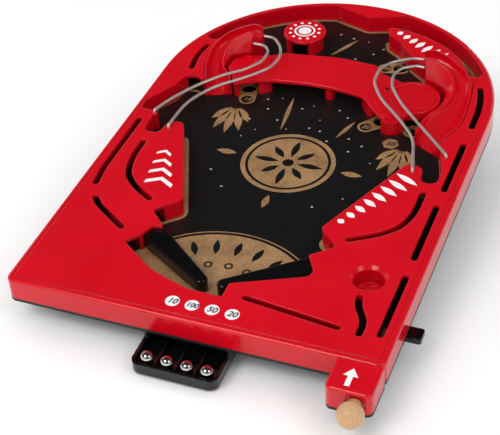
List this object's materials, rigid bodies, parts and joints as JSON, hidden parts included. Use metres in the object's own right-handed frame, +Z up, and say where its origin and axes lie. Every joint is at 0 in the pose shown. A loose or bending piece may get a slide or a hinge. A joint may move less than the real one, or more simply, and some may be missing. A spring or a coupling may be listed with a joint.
{
  "type": "tabletop pinball game",
  "caption": "Tabletop pinball game: arched red plastic tray with sunken playing board, flippers, side buttons, plunger, ramps with wire rails, bridge and ball tray.",
  "frame": {"origin": "centre of the bounding box's bottom face, on the table", "axes": "+Z up; +Y away from the player, towards the arched rear end; +X to the player's right. The playing surface rises towards +Y by 7 degrees."},
  "size_m": [0.375, 0.5848, 0.1195],
  "materials": {
    "red_plastic": "glossy",
    "hardboard": "printed, satin",
    "black_board": "painted, matt",
    "steel": "satin",
    "spring_steel": "drawn wire",
    "rail_steel": "bright",
    "ball_steel": "polished",
    "screw_steel": "zinc plated",
    "beech": "varnished",
    "black_plastic": "semi-gloss",
    "pad_rubber": "matt"
  },
  "bodies": {
    "body": {"top_frame": "red_plastic", "playfield_board": "hardboard", "base_panel": "black_board", "plunger_housing": "red_plastic", "plunger_spring": "spring_steel", "bridge": "red_plastic", "bridge_post": "red_plastic", "ramp_left": "red_plastic", "ramp_right": "red_plastic", "rail_left_outer": "rail_steel", "rail_left_inner": "rail_steel", "rail_right_inner": "rail_steel", "rail_right_outer": "rail_steel", "bumper_wall": "red_plastic", "bumper_cap": "red_plastic", "ball_tray": "black_plastic", "return_trough": "black_plastic", "panel_screws": "screw_steel", "mount_screws": "screw_steel", "button_guide_left": "black_plastic", "button_guide_right": "black_plastic", "button_spring_left": "spring_steel", "button_spring_right": "spring_steel", "front_foot_left": "black_plastic", "front_foot_right": "black_plastic", "rear_leg_left": "black_plastic", "rear_leg_right": "black_plastic", "front_foot_pad_left": "pad_rubber", "front_foot_pad_right": "pad_rubber", "rear_leg_pad_left": "pad_rubber", "rear_leg_pad_right": "pad_rubber"},
    "plunger": {"plunger_rod": "steel", "plunger_knob": "beech", "plunger_collar": "black_plastic"},
    "flipper_left": {"flipper_left": "black_plastic", "crank_left": "black_plastic"},
    "flipper_right": {"flipper_right": "black_plastic", "crank_right": "black_plastic"},
    "button_left": {"button_left": "black_plastic"},
    "button_right": {"button_right": "black_plastic"},
    "ball_1": {"ball_1": "ball_steel"},
    "ball_2": {"ball_2": "ball_steel"},
    "ball_3": {"ball_3": "ball_steel"},
    "ball_4": {"ball_4": "ball_steel"}
  },
  "joints": [
    {"name": "plunger_slide", "type": "slide", "parent": "body", "child": "plunger", "axis": [0, -0.9925, -0.1219], "range_m": [0, 0.03], "stiffness_N_per_m": 120, "springref_m": -0.02, "deforming": ["plunger_spring"]},
    {"name": "flipper_left_hinge", "type": "hinge", "parent": "body", "child": "flipper_left", "pos_m": [-0.073, -0.13337, 0.04188], "axis": [0, -0.1219, 0.9925], "range_deg": [0, 50]},
    {"name": "flipper_right_hinge", "type": "hinge", "parent": "body", "child": "flipper_right", "pos_m": [0.073, -0.13337, 0.04188], "axis": [0, 0.1219, -0.9925], "range_deg": [0, 50]},
    {"name": "button_left_slide", "type": "slide", "parent": "body", "child": "button_left", "axis": [1, 0, 0], "range_m": [0, 0.008], "stiffness_N_per_m": 90, "springref_m": -0.006, "deforming": ["button_spring_left"]},
    {"name": "button_right_slide", "type": "slide", "parent": "body", "child": "button_right", "axis": [-1, 0, 0], "range_m": [0, 0.008], "stiffness_N_per_m": 90, "springref_m": -0.006, "deforming": ["button_spring_right"]},
    {"name": "ball_1_roll", "type": "slide", "parent": "body", "child": "ball_1", "axis": [0, 0.9925, 0.1219], "range_m": [0, 0.025]},
    {"name": "ball_2_roll", "type": "slide", "parent": "body", "child": "ball_2", "axis": [0, 0.9925, 0.1219], "range_m": [0, 0.025]},
    {"name": "ball_3_roll", "type": "slide", "parent": "body", "child": "ball_3", "axis": [0, 0.9925, 0.1219], "range_m": [0, 0.025]},
    {"name": "ball_4_roll", "type": "slide", "parent": "body", "child": "ball_4", "axis": [0, 0.9925, 0.1219], "range_m": [0, 0.025]}
  ],
  "couplings": [
    {"joint": "button_left_slide", "follows": "flipper_left_hinge", "m_per_rad": 0.009167},
    {"joint": "button_right_slide", "follows": "flipper_right_hinge", "m_per_rad": 0.009167}
  ]
}
